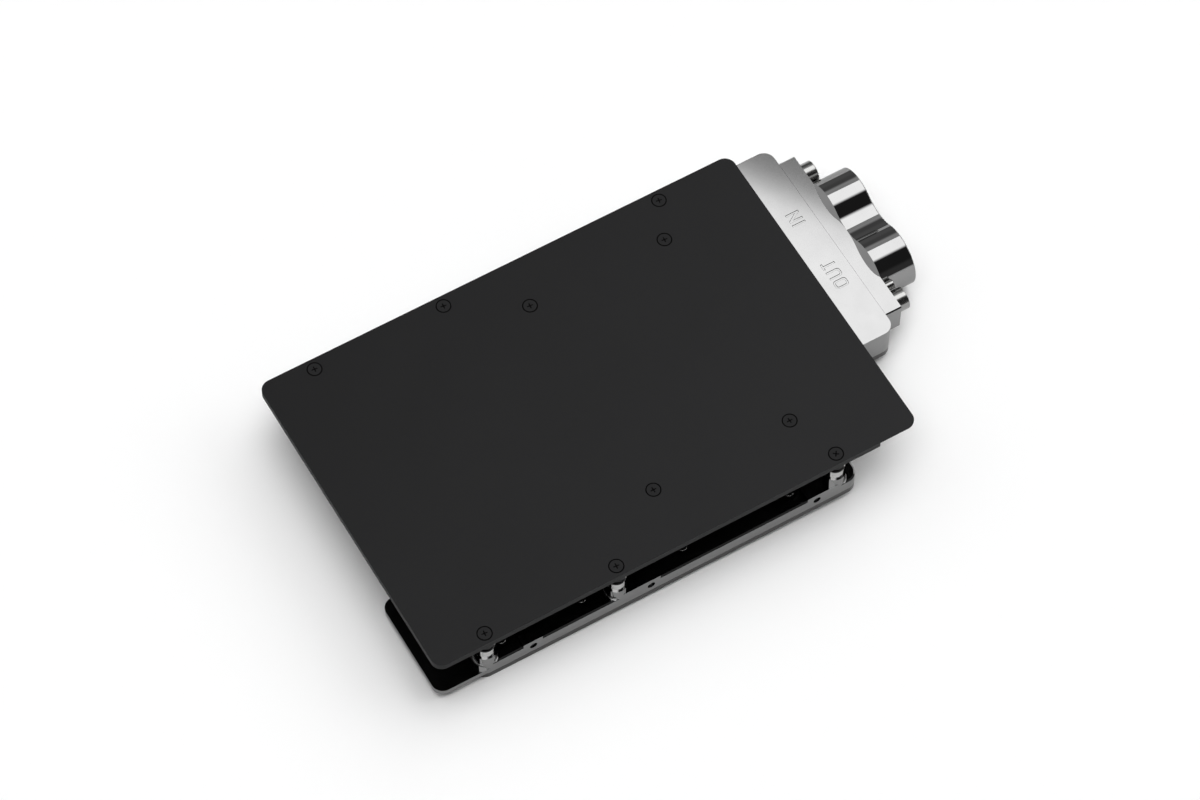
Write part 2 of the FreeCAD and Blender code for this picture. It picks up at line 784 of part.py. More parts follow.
os.makedirs("parts", exist_ok=True)
export("backplate", make_backplate())
export("front_edge_screws", make_clamping_screws(front_screw_places(), front_recess_turns))
export("rear_edge_screws", make_clamping_screws(rear_screw_places(), rear_recess_turns))
export("chip_screws", make_clamping_screws(chip_screw_places(), chip_recess_turns))
export("front_edge_standoffs", make_standoffs(front_screw_places()))
export("rear_edge_standoffs", make_standoffs(rear_screw_places()))
export("chip_standoffs", make_standoffs(chip_screw_places()))
export("cooler_body", make_cooler_body())
export("flow_guide", make_flow_guide())
export("cover", make_cover())
export("cover_seal", make_cover_seal())
export("cover_screws", make_cover_screws())
export("port_manifold", make_port_manifold())
export("port_seal_in", make_port_seal(port_in_y))
export("port_seal_out", make_port_seal(port_out_y))
export("manifold_screws", make_manifold_screws())
export("manifold_dowel", make_dowel())
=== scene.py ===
# %% [markdown]
# # A graphics card water block, dressed for its portrait
#
# The solids come from the CAD frame: a black backplate, a nickel-plated cooler body with its cover below,
# and a port manifold at one end. Each keeps its place and its mesh, and gets a finish here. The finest forms
# stay out of the CAD model and are new pieces: the engraved lettering, whose walls are painted dark as shade,
# the hairlines between parts and the cross slots of the screws, which are drawn as painted shadow, the rims of
# the cover's screw holes, and the screw threads.

# %% Loading the frame
import math

import bpy
import numpy as np
from mathutils import Matrix


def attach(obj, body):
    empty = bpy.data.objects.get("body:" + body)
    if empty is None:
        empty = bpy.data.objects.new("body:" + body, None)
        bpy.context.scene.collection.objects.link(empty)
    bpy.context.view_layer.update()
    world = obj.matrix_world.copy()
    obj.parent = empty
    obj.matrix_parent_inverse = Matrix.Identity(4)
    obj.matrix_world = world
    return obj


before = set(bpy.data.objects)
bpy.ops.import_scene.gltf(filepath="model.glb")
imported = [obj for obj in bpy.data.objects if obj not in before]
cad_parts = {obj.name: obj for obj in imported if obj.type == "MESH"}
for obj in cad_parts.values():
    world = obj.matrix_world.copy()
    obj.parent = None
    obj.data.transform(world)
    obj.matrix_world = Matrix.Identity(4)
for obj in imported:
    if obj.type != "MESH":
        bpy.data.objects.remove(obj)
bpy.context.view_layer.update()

# %% [markdown]
# ## Small tools
#
# Colours are easier to read as the hex codes of a paint chart, but a renderer adds light in linear values.
# One function does that step, and another one adds a node, sets its values and links its inputs, so that
# a material reads as a short list.

# %% Colour and node tools
def linear(code):
    """Turns a six-digit sRGB hex code into linear red, green, blue and alpha.

    A share s of full brightness becomes s / 12.92 up to 0.04045, and ((s + 0.055) / 1.055)^2.4 above it.
    """
    parts = np.array([int(code[i:i + 2], 16) for i in (1, 3, 5)]) / 255
    bent = np.where(parts <= 0.04045, parts / 12.92, ((parts + 0.055) / 1.055) ** 2.4)
    return (*bent.tolist(), 1.0)


def add_node(tree, kind, settings=(), values=(), links=()):
    """Adds one node: settings are its properties, values its input values and links what feeds its inputs."""
    node = tree.nodes.new(kind)
    for name, value in dict(settings).items():
        setattr(node, name, value)
    for name, value in dict(values).items():
        node.inputs[name].default_value = value
    for name, source in dict(links).items():
        tree.links.new(source, node.inputs[name])
    return node


print("white is", linear("#FFFFFF"), "and mid grey is", linear("#808080"))

# %% [markdown]
# ## Camera
#
# The picture was taken with a long lens from high up on the front left. Its right angles and round corners
# fix the camera's place, turn and focal length. A camera that tracks a target would be less to write, but it
# stands level, and this one is rolled by half a degree, so its three axes are written down as found.

# %% Camera
sensor_width_mm, focal_length_mm, farthest_seen = 36.0, 147.1, 100.0
camera_place = (-0.4017, -0.63125, 1.2807)
camera_right = (0.86380984, -0.50374012, 0.00885756)
camera_down = (-0.43235897, -0.75020236, -0.50026207)
camera_ahead = (0.25864703, 0.42830165, -0.86582874)

lens = bpy.data.cameras.new("portrait_lens")
lens.sensor_width = sensor_width_mm
lens.lens = focal_length_mm
lens.clip_end = farthest_seen
camera = bpy.data.objects.new("portrait_camera", lens)
bpy.context.scene.collection.objects.link(camera)
axes = np.array([camera_right, camera_down, camera_ahead]) * np.array([[1], [-1], [-1]])
turn = np.eye(4)
turn[:3, :3] = axes.T
turn[:3, 3] = camera_place
camera.matrix_world = Matrix(turn.tolist())
bpy.context.scene.camera = camera
print("camera looks down by", round(math.degrees(math.asin(-camera_ahead[2])), 2), "degrees")

# %% [markdown]
# ## Surfaces from grids
#
# Every new piece is a grid of points worked out in one go, whose faces join each point to its neighbours.
# Blender's ready-made shapes would do for a table, but not for the wall of a letter or a thread, so one way
# serves them all. The sign of a closed surface's volume tells whether its faces point outwards.

# %% Mesh tools
def grid_faces(rows, columns, loop_rows=False, loop_columns=False):
    """Four-sided faces between neighbouring points of a grid. A looped direction joins its end to its start.

    The point in row r and column c has the number r columns + c.
    """
    down = np.arange(rows if loop_rows else rows - 1)
    across = np.arange(columns if loop_columns else columns - 1)
    r, c = np.meshgrid(down, across, indexing="ij")
    r_next, c_next = (r + 1) % rows, (c + 1) % columns
    quads = [r * columns + c, r * columns + c_next, r_next * columns + c_next, r_next * columns + c]
    return np.stack(quads, axis=-1).reshape(-1, 4)


def new_piece(name, points, faces, material, smooth=True):
    """Puts points and faces into a mesh object that sits at the origin."""
    mesh = bpy.data.meshes.new(name)
    mesh.from_pydata(points.reshape(-1, 3).tolist(), [], [tuple(f) for f in faces])
    mesh.polygons.foreach_set("use_smooth", np.full(len(mesh.polygons), smooth))
    mesh.materials.append(material)
    mesh.update()
    piece = bpy.data.objects.new(name, mesh)
    bpy.context.scene.collection.objects.link(piece)
    return piece


def outward(points, faces):
    """Turns the faces round where the closed surface has a negative volume, the sum of a . (b x c) / 6."""
    flat = points.reshape(-1, 3)
    fans = [[f[0], f[i], f[i + 1]] for f in faces for i in range(1, len(f) - 1)]
    a, b, c = (flat[np.array(fans)[:, i]] for i in range(3))
    volume = np.einsum("ij,ij->i", a, np.cross(b, c)).sum() / 6
    return [f[::-1] for f in faces] if volume < 0 else faces


print("a 3 by 4 grid has", len(grid_faces(3, 4)), "faces")

# %% [markdown]
# ## Table
#
# The block lies on a white table. It rests on its port bosses at one end and on the cover's edge at the
# other, so the table is not parallel to the plate: it is tilted by about one degree under the block. The
# table is a disc worked out on a polar grid. Away from the block its paint fades to plain white for the
# camera and for mirrored rays, so that the background is as white as the paper the block stood on. A brighter
# lamp would whiten it too, but it would bleach the block.

# %% Matt white paint
fade_start, fade_end = 0.25, 1.6

floor_paint = bpy.data.materials.new("matt_white_table")
floor_paint.use_nodes = True
tree = floor_paint.node_tree
tree.nodes.clear()
place = add_node(tree, "ShaderNodeTexCoord")
reach = add_node(tree, "ShaderNodeVectorMath", {"operation": "LENGTH"}, links={0: place.outputs["Object"]})
far = add_node(tree, "ShaderNodeMapRange", {"interpolation_type": "SMOOTHSTEP"},
               {"From Min": fade_start, "From Max": fade_end, "To Min": 0.0, "To Max": 1.0},
               {"Value": reach.outputs["Value"]})
paint = add_node(tree, "ShaderNodeBsdfDiffuse", values={"Color": linear("#F9F9F9")})
rays = add_node(tree, "ShaderNodeLightPath")
seen_or_glossy = add_node(tree, "ShaderNodeMath", {"operation": "MAXIMUM"},
                          links={0: rays.outputs["Is Camera Ray"], 1: rays.outputs["Is Glossy Ray"]})
seen = add_node(tree, "ShaderNodeMath", {"operation": "MAXIMUM"},
                links={0: seen_or_glossy.outputs[0], 1: rays.outputs["Is Transmission Ray"]})
far_seen = add_node(tree, "ShaderNodeMath", {"operation": "MULTIPLY"},
                    links={0: far.outputs[0], 1: seen.outputs[0]})
glow = add_node(tree, "ShaderNodeEmission", values={"Color": linear("#FFFFFF")})
near = add_node(tree, "ShaderNodeMixShader", links={0: far_seen.outputs[0], 1: paint.outputs[0],
                                                    2: glow.outputs[0]})
add_node(tree, "ShaderNodeOutputMaterial", links={"Surface": near.outputs[0]})
print("paint fades to white from", fade_start, "to", fade_end, "metres")

# %% Disc of the table
boss_rest_x, boss_rest_z = 0.0767, -0.0156
edge_rest_x, edge_rest_z = -0.0945, -0.01215
floor_slope = (boss_rest_z - edge_rest_z) / (boss_rest_x - edge_rest_x)
floor_drop = 0.00003
# The rings stand close under the block and wide apart further out, up to 8 m.
ring_radii = np.concatenate([np.linspace(0.02, 1.0, 12), np.linspace(1.5, 8.0, 10)])
spoke_angles = np.linspace(0, 2 * math.pi, 97)[:-1]
ring, angle = np.meshgrid(ring_radii, spoke_angles, indexing="ij")
floor_x = ring * np.cos(angle)
floor_y = ring * np.sin(angle)
floor_z = edge_rest_z + floor_slope * (floor_x - edge_rest_x) - floor_drop
floor_points = np.stack([floor_x, floor_y, floor_z], axis=-1)
floor_faces = [*grid_faces(*ring.shape, loop_columns=True).tolist(), list(range(len(spoke_angles)))[::-1]]
floor = new_piece("table", floor_points, floor_faces, floor_paint)
print("table tilts by", round(math.degrees(math.atan(floor_slope)), 2), "degrees")

# %% [markdown]
# ## Light
#
# Polished nickel shows its surroundings, so the studio is drawn from the reflections on the real block. The
# flat top of the port end mirrors one large overhead softbox, whose sharp edge crosses the corner of that
# face, with a weaker spill beside it, and the flat backs of the bosses mirror a small lamp behind. The shadow
# round the block tells the rest: a bright wall to the right, a dim one at the back, and a dark room at the
# front and left. Area lamps could stand there, but near ones light the table unevenly. So the studio is
# painted on the world, as brightness by direction: every spot of the table gets the same light, and it stays
# evenly white.

# %% Studio tools
def window(tree, value, low, high, low_soft, high_soft):
    """One between low and high and zero outside, with smooth steps of those half-widths at the two ends.

    A smooth step rises as 3t^2 - 2t^3 while t goes from 0 to 1 across it.
    """
    smooth = {"interpolation_type": "SMOOTHSTEP"}
    rise = add_node(tree, "ShaderNodeMapRange", smooth,
                    {"From Min": low - low_soft, "From Max": low + low_soft}, {"Value": value})
    fall = add_node(tree, "ShaderNodeMapRange", smooth,
                    {"From Min": high - high_soft, "From Max": high + high_soft,
                     "To Min": 1.0, "To Max": 0.0}, {"Value": value})
    return add_node(tree, "ShaderNodeMath", {"operation": "MULTIPLY"},
                    links={0: rise.outputs[0], 1: fall.outputs[0]}).outputs[0]


def panel(tree, first, second, level):
    """A patch of light where both windows are open: the product of the two windows and its brightness."""
    both = add_node(tree, "ShaderNodeMath", {"operation": "MULTIPLY"}, links={0: first, 1: second})
    return add_node(tree, "ShaderNodeMath", {"operation": "MULTIPLY"}, {1: level},
                    links={0: both.outputs[0]}).outputs[0]


print("a smooth step is halfway up at", 3 * 0.5 ** 2 - 2 * 0.5 ** 3)

# %% Directions in the studio
softbox_across, softbox_along = (0.823, 0.568, 0.0), (0.568, -0.823, 0.0)
lowest_rise = 0.02
world = bpy.data.worlds.new("studio_room")
bpy.context.scene.world = world
world.use_nodes = True
tree = world.node_tree
tree.nodes.clear()
toward = add_node(tree, "ShaderNodeTexCoord").outputs["Generated"]
parts = add_node(tree, "ShaderNodeSeparateXYZ", links={0: toward}).outputs
height = add_node(tree, "ShaderNodeMath", {"operation": "MAXIMUM"}, {1: lowest_rise},
                  {0: parts["Z"]}).outputs[0]
# A level ceiling one metre up is crossed at the direction divided by its own height.
lift = add_node(tree, "ShaderNodeMath", {"operation": "DIVIDE"}, {0: 1.0}, {1: height}).outputs[0]
ceiling = add_node(tree, "ShaderNodeVectorMath", {"operation": "SCALE"},
                   links={0: toward, "Scale": lift}).outputs[0]
across = add_node(tree, "ShaderNodeVectorMath", {"operation": "DOT_PRODUCT"}, {1: softbox_across},
                  {0: ceiling}).outputs["Value"]
along = add_node(tree, "ShaderNodeVectorMath", {"operation": "DOT_PRODUCT"}, {1: softbox_along},
                 {0: ceiling}).outputs["Value"]
compass = add_node(tree, "ShaderNodeMath", {"operation": "ARCTAN2"},
                   links={0: parts["Y"], 1: parts["X"]}).outputs[0]
softbox_turn = math.degrees(math.atan2(softbox_across[1], softbox_across[0]))
print("the softbox is turned by", round(softbox_turn, 1), "degrees")

# %% Lamps and walls
softbox_edge, wall_meets_dim, dim_meets_rear = 0.598, 0.98, 1.309
dark_room, below_table = 0.03, 0.9
upper = window(tree, parts["Z"], 0.05, 2.0, 0.02, 0.1)
# Three lamps on the ceiling: how far they reach across and along, in ceiling heights.
softbox = panel(tree, window(tree, across, -0.693, softbox_edge, 0.08, 0.004),
                window(tree, along, -0.358, 0.41, 0.06, 0.09), 2.95)
rear_lamp = panel(tree, window(tree, across, -0.16, 0.08, 0.05, 0.05),
                  window(tree, along, -0.76, -0.54, 0.05, 0.05), 2.9)
spill = panel(tree, window(tree, across, softbox_edge, 0.93, 0.004, 0.15),
              window(tree, along, -0.7, 0.5, 0.12, 0.1), 0.55)
# Three walls: from one compass angle to another, in radians from the X axis, and between two heights.
right_wall = panel(tree, window(tree, compass, -0.632, wall_meets_dim, 0.07, 0.05),
                   window(tree, parts["Z"], 0.340, 0.792, 0.03, 0.03), 1.62)
dim_wall = panel(tree, window(tree, compass, wall_meets_dim, dim_meets_rear, 0.05, 0.07),
                 window(tree, parts["Z"], 0.10, 0.766, 0.03, 0.03), 0.12)
rear_wall = panel(tree, window(tree, compass, dim_meets_rear, 3.0, 0.07, 0.1),
                  window(tree, parts["Z"], 0.473, 0.766, 0.03, 0.03), 0.74)
# A faint haze all round, low above the table.
haze = panel(tree, window(tree, parts["Z"], -1.0, 0.42, 0.1, 0.10), upper, 0.05)
lights = [softbox, rear_lamp, spill, right_wall, dim_wall, rear_wall, haze]
total = add_node(tree, "ShaderNodeMapRange", values={"To Min": below_table, "To Max": dark_room},
                 links={"Value": upper}).outputs[0]
for light in lights:
    lit = add_node(tree, "ShaderNodeMath", {"operation": "MULTIPLY"}, links={0: light, 1: upper}).outputs[0]
    total = add_node(tree, "ShaderNodeMath", {"operation": "ADD"}, links={0: total, 1: lit}).outputs[0]
room = add_node(tree, "ShaderNodeBackground", values={"Color": linear("#FFFFFF")}, links={"Strength": total})
add_node(tree, "ShaderNodeOutputWorld", links={"Surface": room.outputs[0]})
bpy.context.scene.view_settings.view_transform = "Standard"
print("studio panels", len(lights))

# %% [markdown]
# ## Nickel plating on the cooler body
#
# The cooler body is milled from copper and plated with bright nickel, a neutral metal that is smooth enough to
# mirror the lamp and the table. Its bright and dark areas could be painted on, but then they would stay where
# they are in every other view, so they are left to the mirror. The milling below the plating leaves a slight
# unevenness, drawn as a very weak bump and small changes of roughness. The manifold is plated brass, and the
# standoffs are turned brass with a brighter plating.

# %% Metal finishes
def new_finish(name):
    """A new material with an empty tree, its shader, its output and the object's own coordinates."""
    material = bpy.data.materials.new(name)
    material.use_nodes = True
    tree = material.node_tree
    tree.nodes.clear()
    shader = add_node(tree, "ShaderNodeBsdfPrincipled")
    add_node(tree, "ShaderNodeOutputMaterial", links={"Surface": shader.outputs[0]})
    return material, tree, shader, add_node(tree, "ShaderNodeTexCoord").outputs["Object"]


def speckle(tree, place, size_mm, detail, low, high):
    """Noise whose grains are size_mm wide, from low to high. Returns the number and the noise itself.

    Grains of that width need 1000 / size_mm of them on a metre. Most of the noise lies from 0.3 to 0.7, so
    that span is stretched to the one from low to high.
    """
    noise = add_node(tree, "ShaderNodeTexNoise", values={"Scale": 1000 / size_mm, "Detail": detail},
                     links={"Vector": place})
    span = add_node(tree, "ShaderNodeMapRange", values={"From Min": 0.3, "From Max": 0.7, "To Min": low,
                                                        "To Max": high}, links={"Value": noise.outputs[0]})
    return span.outputs[0], noise.outputs[0]


def shades(tree, amount, dark, bright):
    """A colour between two hex codes: (1 - amount) of the dark one and amount of the bright one."""
    mixed = add_node(tree, "ShaderNodeMix", {"data_type": "RGBA"}, links={"Factor": amount})
    mixed.inputs["A"].default_value = linear(dark)
    mixed.inputs["B"].default_value = linear(bright)
    return mixed.outputs["Result"]


def relief(tree, height, strength, depth_mm):
    """A bump of that depth and strength. Returns its normal."""
    bump = add_node(tree, "ShaderNodeBump", values={"Strength": strength, "Distance": depth_mm / 1000},
                    links={"Height": height})
    return bump.outputs[0]


def nickel_plate(name, dark, bright, roughness):
    """Bright nickel over machined metal: soft clouds 6 mm wide in tone, and fine 0.5 mm unevenness."""
    material, tree, shader, place = new_finish(name)
    shader.inputs["Metallic"].default_value = 1.0
    shader.inputs["Specular Tint"].default_value = linear("#DADADA")
    cloud, _ = speckle(tree, place, size_mm=6.0, detail=2.0, low=0.0, high=1.0)
    gloss, grain = speckle(tree, place, size_mm=0.5, detail=2.0, low=roughness[0], high=roughness[1])
    tree.links.new(shades(tree, cloud, dark, bright), shader.inputs["Base Color"])
    tree.links.new(gloss, shader.inputs["Roughness"])
    tree.links.new(relief(tree, grain, strength=0.004, depth_mm=0.01), shader.inputs["Normal"])
    return material


nickel_on_copper = nickel_plate("nickel_plated_copper", "#8C8C8C", "#8F8F8F", roughness=(0.04, 0.045))
nickel_on_brass = nickel_plate("nickel_plated_brass", "#8C8C8C", "#8F8F8F", roughness=(0.04, 0.045))
bright_standoff = nickel_plate("bright_nickel_on_brass", "#C4C4C3", "#CACAC9", roughness=(0.06, 0.10))
print("finishes", nickel_on_copper.name, nickel_on_brass.name, bright_standoff.name)

# %% [markdown]
# ## Black anodised backplate
#
# The backplate is aluminium that was bead-blasted before it was anodised black. The blasting leaves a fine
# pitted skin that scatters the lamp, so the black looks soft and slightly grey under the softbox. The pits
# are about 0.1 mm wide, which a picture of the whole block can't show, so they are drawn three times as wide
# and very shallow. Pits in the mesh would need millions of faces, so noise and a bump stand for them.
# Its colour also holds painted light, lighter towards the front right corner.

# %% Anodised aluminium
def anodised_aluminium():
    """Black anodised and bead-blasted: dark skin with fine pits, and painted light that makes it lighter
    towards the front right corner.

    The painted light rises with the distance along the plate's diagonal, 0.568 x - 0.823 y, and slow clouds 25
    mm wide of random tone are added to it.
    """
    diagonal, rear_left_end, front_right_end = (0.568, -0.823, 0.0), -0.105, 0.079
    material, tree, shader, place = new_finish("black_anodised_aluminium")
    shader.inputs["Metallic"].default_value = 0.0
    shader.inputs["Specular IOR Level"].default_value = 0.15
    # Painted light: the plate's colour grows lighter from its rear left corner to its front right one.
    distance = add_node(tree, "ShaderNodeVectorMath", {"operation": "DOT_PRODUCT"}, {1: diagonal},
                        {0: place}).outputs["Value"]
    painted_light_falloff = add_node(tree, "ShaderNodeMapRange",
                     values={"From Min": rear_left_end, "From Max": front_right_end},
                     links={"Value": distance}).outputs[0]
    cloud, _ = speckle(tree, place, size_mm=25.0, detail=2.0, low=-0.06, high=0.06)
    tone = add_node(tree, "ShaderNodeMath", {"operation": "ADD"}, links={0: painted_light_falloff, 1: cloud}).outputs[0]
    gloss, pits = speckle(tree, place, size_mm=0.3, detail=2.0, low=0.50, high=0.60)
    tree.links.new(shades(tree, tone, "#0F0F10", "#1C1C1D"), shader.inputs["Base Color"])
    tree.links.new(gloss, shader.inputs["Roughness"])
    tree.links.new(relief(tree, pits, strength=0.12, depth_mm=0.02), shader.inputs["Normal"])
    return material


black_plate = anodised_aluminium()
print("finish", black_plate.name)

# %% [markdown]
# ## Brushed stainless cover
#
# The cover below the body is stainless steel sheet, brushed along its length. Brush lines are about 0.1 mm
# wide and many centimetres long. Scratches in the mesh would be far too fine, so noise stands for them,
# stretched along the sheet and squeezed across it, and drawn 0.25 mm wide so that it shows.

# %% Brushed stainless steel
def brushed_steel():
    """Stainless steel brushed along X: noise drawn out a hundredfold along X gives lines 0.25 mm wide."""
    material, tree, shader, place = new_finish("stainless_steel")
    shader.inputs["Metallic"].default_value = 1.0
    drawn = add_node(tree, "ShaderNodeMapping", values={"Scale": (0.01, 1.0, 1.0)}, links={"Vector": place})
    gloss, lines = speckle(tree, drawn.outputs[0], size_mm=0.25, detail=3.0, low=0.24, high=0.36)
    amount, _ = speckle(tree, drawn.outputs[0], size_mm=0.5, detail=3.0, low=0.0, high=1.0)
    tree.links.new(shades(tree, amount, "#3C3C3B", "#434342"), shader.inputs["Base Color"])
    tree.links.new(gloss, shader.inputs["Roughness"])
    tree.links.new(relief(tree, lines, strength=0.08, depth_mm=0.02), shader.inputs["Normal"])
    return material


cover_steel = brushed_steel()
print("finish", cover_steel.name)

# %% [markdown]
# ## Black oxide clamping screws
#
# Ten countersunk screws of blackened steel hold the plate. The rim of each head is bevelled and sinks into the
# shadow of its countersink, so its outer 0.2 mm goes black. A wide gap would give that shadow by itself, but
# the head of a real screw fits closely, so the finish draws it, by the distance from the nearest screw's axis.

# %% Places of the clamping screws
front_row, rear_row = -53.35, 49.75
chip_screw_x, chip_screw_y = 23.65, 36.75
screw_places = [(-90.6, front_row), (-46.1, front_row), (29.7, front_row),
                (-90.8, rear_row), (-46.4, rear_row), (29.4, rear_row),
                (-chip_screw_x, -chip_screw_y), (chip_screw_x, -chip_screw_y),
                (-chip_screw_x, chip_screw_y), (chip_screw_x, chip_screw_y)]
print("clamping screws", len(screw_places))

# %% Black oxide steel
def from_screw(tree, place):
    """Millimetres from the nearest clamping screw's axis: the least of the ten distances in the plane."""
    flat = add_node(tree, "ShaderNodeVectorMath", {"operation": "MULTIPLY"}, {1: (1000.0, 1000.0, 0.0)},
                    {0: place}).outputs[0]
    nearest = None
    for x, y in screw_places:
        away = add_node(tree, "ShaderNodeVectorMath", {"operation": "DISTANCE"}, {1: (x, y, 0.0)},
                        {0: flat}).outputs["Value"]
        nearest = away if nearest is None else add_node(tree, "ShaderNodeMath", {"operation": "MINIMUM"},
                                                        links={0: nearest, 1: away}).outputs[0]
    return nearest


def painted_bevel_shadow(tree, shader, place, colour, shine, lit_mm, dark_mm):
    """Painted shadow: colour and shine go to black, by a straight ramp, between two distances from the nearest
    screw's axis.
    """
    amount = add_node(tree, "ShaderNodeMapRange", values={"From Min": lit_mm, "From Max": dark_mm},
                      links={"Value": from_screw(tree, place)}).outputs[0]
    mixed = add_node(tree, "ShaderNodeMix", {"data_type": "RGBA"}, links={"Factor": amount})
    tree.links.new(colour, mixed.inputs["A"])
    mixed.inputs["B"].default_value = linear("#020202")
    dulled = add_node(tree, "ShaderNodeMapRange", values={"To Min": shine, "To Max": 0.0},
                      links={"Value": amount}).outputs[0]
    tree.links.new(mixed.outputs["Result"], shader.inputs["Base Color"])
    tree.links.new(dulled, shader.inputs["Specular IOR Level"])


def black_oxide_steel():
    """Steel screws blackened in a hot bath: a thin dark layer over turned steel, satin."""
    material, tree, shader, place = new_finish("black_steel_screw")
    shader.inputs["Metallic"].default_value = 0.0
    gloss, grain = speckle(tree, place, size_mm=0.25, detail=2.0, low=0.48, high=0.58)
    turned = shades(tree, grain, "#101011", "#161617")
    # The outer rim of each head is painted shadow.
    painted_bevel_shadow(tree, shader, place, turned, shine=0.15, lit_mm=2.04, dark_mm=2.07)
    tree.links.new(gloss, shader.inputs["Roughness"])
    tree.links.new(relief(tree, grain, strength=0.1, depth_mm=0.02), shader.inputs["Normal"])
    return material


screw_black = black_oxide_steel()
print("finish", screw_black.name)

# %% [markdown]
# ## Polished steel screws and pin
#
# The screws of the cover and of the manifold, and the manifold's pin, are bright steel, ground and polished.
# They mirror the room less sharply than the plating does, so they have more roughness, and faint turning
# marks, which noise stands for because they are too fine to be seen one by one.

# %% Polished steel
def polished_steel():
    """Ground and polished screws and pin: bright steel with faint turning marks 0.2 mm apart."""
    material, tree, shader, place = new_finish("polished_steel")
    shader.inputs["Metallic"].default_value = 1.0
    gloss, grain = speckle(tree, place, size_mm=0.2, detail=2.0, low=0.14, high=0.24)
    tree.links.new(shades(tree, grain, "#8C8C8B", "#949493"), shader.inputs["Base Color"])
    tree.links.new(gloss, shader.inputs["Roughness"])
    tree.links.new(relief(tree, grain, strength=0.05, depth_mm=0.01), shader.inputs["Normal"])
    return material


screw_bright = polished_steel()
print("finish", screw_bright.name)

# %% [markdown]
# ## Rubber and acetal
#
# The seals are moulded nitrile rubber, dull with a faint bloom, and the flow guide is machined acetal, a dense
# plastic with fine tool marks. Both are hidden in the block and show only when it is taken apart. One function
# makes both, because dark polymers differ in shade, roughness and grain, not in kind.

# %% Rubber and plastic
def soft_black(name, dark, bright, roughness, grain_mm, shine=0.5):
    """A dark polymer or a painted shadow: two close shades and a roughness that change by grains grain_mm wide.
    """
    material, tree, shader, place = new_finish(name)
    shader.inputs["Metallic"].default_value = 0.0
    shader.inputs["Specular IOR Level"].default_value = shine
    gloss, grain = speckle(tree, place, grain_mm, detail=3.0, low=roughness[0], high=roughness[1])
    tree.links.new(shades(tree, grain, dark, bright), shader.inputs["Base Color"])
    tree.links.new(gloss, shader.inputs["Roughness"])
    tree.links.new(relief(tree, grain, strength=0.15, depth_mm=0.03), shader.inputs["Normal"])
    return material


seal_rubber = soft_black("seal_rubber", "#1C1C1C", "#262625", roughness=(0.65, 0.8), grain_mm=0.4)
acetal = soft_black("acetal", "#26272A", "#2E2F31", roughness=(0.38, 0.5), grain_mm=0.6)
print("finishes", seal_rubber.name, acetal.name)

# %% [markdown]
# ## Finishes onto the solids
#
# Each node of the CAD model is one kind of part, such as the ten clamping screws in their three groups. It
# keeps its mesh and its place, and takes its finish by name. A table of names is easy to check against the
# list of parts.

# %% Finishes onto the CAD nodes
finish_of = {
    "backplate": black_plate,
    "front_edge_screws": screw_black,
    "rear_edge_screws": screw_black,
    "chip_screws": screw_black,
    "front_edge_standoffs": bright_standoff,
    "rear_edge_standoffs": bright_standoff,
    "chip_standoffs": bright_standoff,
    "cooler_body": nickel_on_copper,
    "flow_guide": acetal,
    "cover": cover_steel,
    "cover_seal": seal_rubber,
    "cover_screws": screw_bright,
    "port_manifold": nickel_on_brass,
    "port_seal_in": seal_rubber,
    "port_seal_out": seal_rubber,
    "manifold_screws": screw_bright,
    "manifold_dowel": screw_bright,
}
for name, finish in finish_of.items():
    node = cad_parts[name]
    node.data.materials.clear()
    node.data.materials.append(finish)
print("dressed", len(finish_of), "nodes")

# %% [markdown]
# ## Engraved lettering
#
# The port end says which port is which, IN and OUT, in plain capitals with strokes of 0.65 mm. The floor of a
# shallow pocket is as bright as the face round it, so all that can be seen of such a letter is its wall. A
# real pocket would have to be cut into the solid, and a text object has its own letter shapes, so the wall is
# drawn instead, as a narrow slope that runs round the outline of each letter: a three-cornered section carried
# along a closed path, with mitred corners. All sizes are in millimetres.
# The wall lies in the pocket's shade, so its finish is painted shadow, near black.

# %% Letter outlines
top, stroke, outer_bend, inner_bend = 4.55, 0.65, 1.2, 0.55
i_wide, n_wide, u_wide, o_wide, t_wide = stroke, 3.2, 2.95, 3.05, 2.35
slant_low, slant_high = 3.1, 1.55
shortest_side = 1e-6


def bend(corners, radii, steps=6):
    """Rounds each corner C by the parabola (1-t)^2 S + 2t(1-t) C + t^2 E.

    S and E lie on the two sides that meet there, as far from C as its radius says. Where the radius is zero
    the parabola is a single spot, and all but one of its points go.
    """
    corners = np.array(corners, float)
    radii = np.array(radii, float)[:, None]
    back = np.roll(corners, 1, 0) - corners
    ahead = np.roll(corners, -1, 0) - corners
    start = corners + radii * back / np.linalg.norm(back, axis=1)[:, None]
    end = corners + radii * ahead / np.linalg.norm(ahead, axis=1)[:, None]
    t = np.linspace(0, 1, steps)[None, :, None]
    curve = (1 - t) ** 2 * start[:, None] + 2 * t * (1 - t) * corners[:, None] + t ** 2 * end[:, None]
    path = curve.reshape(-1, 2)
    return path[np.linalg.norm(np.roll(path, -1, 0) - path, axis=1) > shortest_side]


def block(left, low, right, high, radius=0.0):
    """Rectangle, anticlockwise, with its corners rounded."""
    return bend([(left, low), (right, low), (right, high), (left, high)], [radius] * 4)


